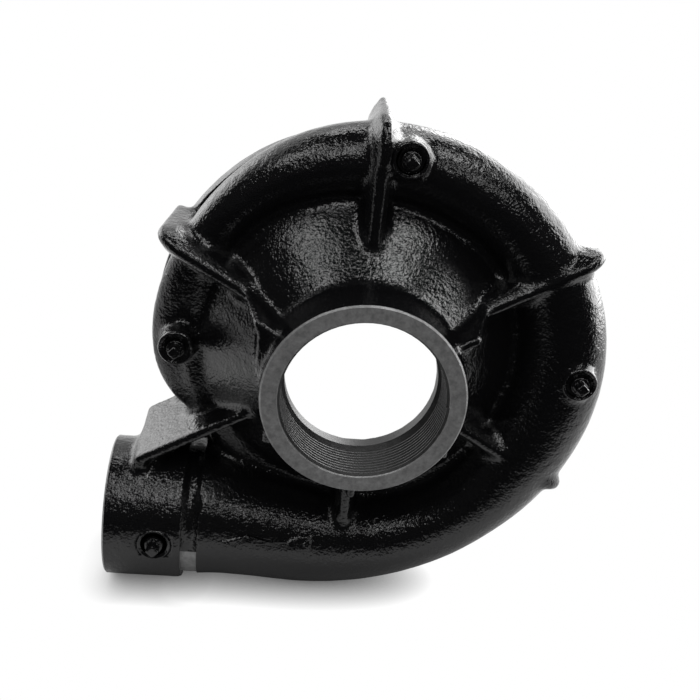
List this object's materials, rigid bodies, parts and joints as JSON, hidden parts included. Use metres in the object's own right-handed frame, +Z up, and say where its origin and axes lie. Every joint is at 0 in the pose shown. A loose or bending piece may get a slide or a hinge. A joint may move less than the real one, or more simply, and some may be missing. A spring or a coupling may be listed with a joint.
{
  "type": "volute pump casing",
  "caption": "Cast iron volute casing of an end-suction centrifugal pump, with a threaded suction nozzle, a side discharge hub, stiffening ribs and screwed plugs.",
  "frame": {"origin": "on the pump axis, at the machined back face that bolts to the bearing frame", "axes": "-Y along the pump axis, out of the suction nozzle; +Y out of the open back; -X along the discharge; +Z up"},
  "size_m": [0.3559, 0.14, 0.3714],
  "materials": {
    "enamel": "gloss black enamel on a sand-cast skin",
    "plug_enamel": "gloss black enamel"
  },
  "bodies": {
    "root": {"volute_casing": "enamel", "vent_plug": "plug_enamel", "left_drain_plug": "plug_enamel", "right_drain_plug": "plug_enamel", "gauge_plug": "plug_enamel"}
  },
  "joints": []
}
